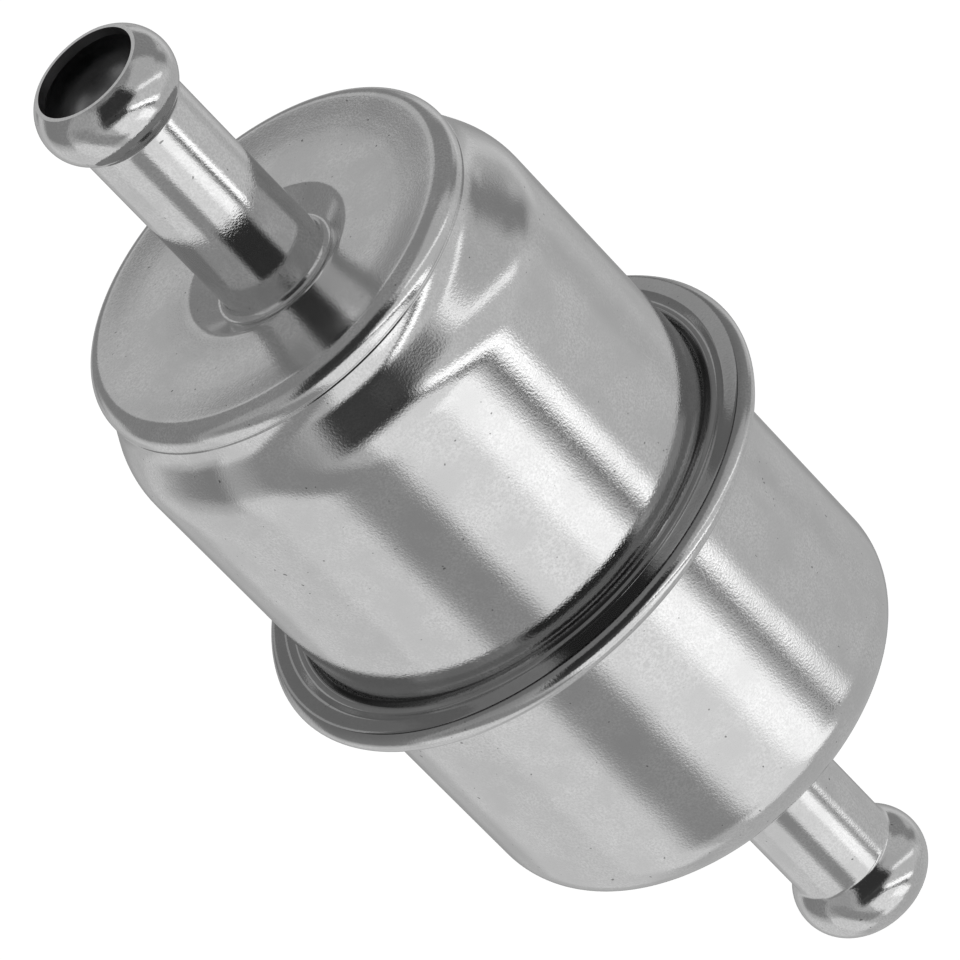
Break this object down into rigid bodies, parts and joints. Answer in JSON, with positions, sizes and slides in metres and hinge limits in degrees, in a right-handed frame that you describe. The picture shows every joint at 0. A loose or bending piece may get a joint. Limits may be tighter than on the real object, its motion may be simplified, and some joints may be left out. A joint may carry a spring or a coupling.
{
  "type": "fuel filter",
  "caption": "In-line metal canister fuel filter with a crimped centre seam, a beaded hose tube at each end and a spring-loaded pleated paper element inside.",
  "frame": {"origin": "middle of the overall length on the flow axis, 1.165 mm on the inlet side of the seam's middle plane", "axes": "+Z along the flow axis towards the inlet tube's mouth; X and Y are any two square directions, because the part is round"},
  "size_m": [0.0388, 0.0388, 0.09],
  "materials": {
    "shell_steel": "bright tin-plated drawn steel with a fine orange-peel grain",
    "tube_steel": "bright tin-plated tube, slightly smoother than the shells",
    "braze": "dull braze fillet",
    "seam_compound": "cured sealing compound film",
    "spring_wire": "drawn spring wire",
    "cap_steel": "tinplate",
    "potting": "cured plastisol adhesive",
    "core_steel": "perforated tinplate",
    "filter_paper": "resin-treated cellulose paper",
    "gasket_rubber": "nitrile rubber"
  },
  "bodies": {
    "canister": {"inlet_shell": "shell_steel", "outlet_shell": "shell_steel", "inlet_tube": "tube_steel", "outlet_tube": "tube_steel", "inlet_braze_ring": "braze", "outlet_braze_ring": "braze", "seam_seal": "seam_compound", "element_spring": "spring_wire"},
    "element": {"closed_end_cap": "cap_steel", "open_end_cap": "cap_steel", "closed_end_adhesive": "potting", "open_end_adhesive": "potting", "centre_tube": "core_steel", "pleated_paper": "filter_paper", "pleat_clip": "core_steel", "outlet_gasket": "gasket_rubber"}
  },
  "joints": [
    {"name": "element_lift", "type": "slide", "parent": "canister", "child": "element", "axis": [0, 0, 1], "range_m": [0, 0.005], "stiffness_N_per_m": 900, "springref_m": -0.005, "deforming": ["element_spring"]}
  ]
}
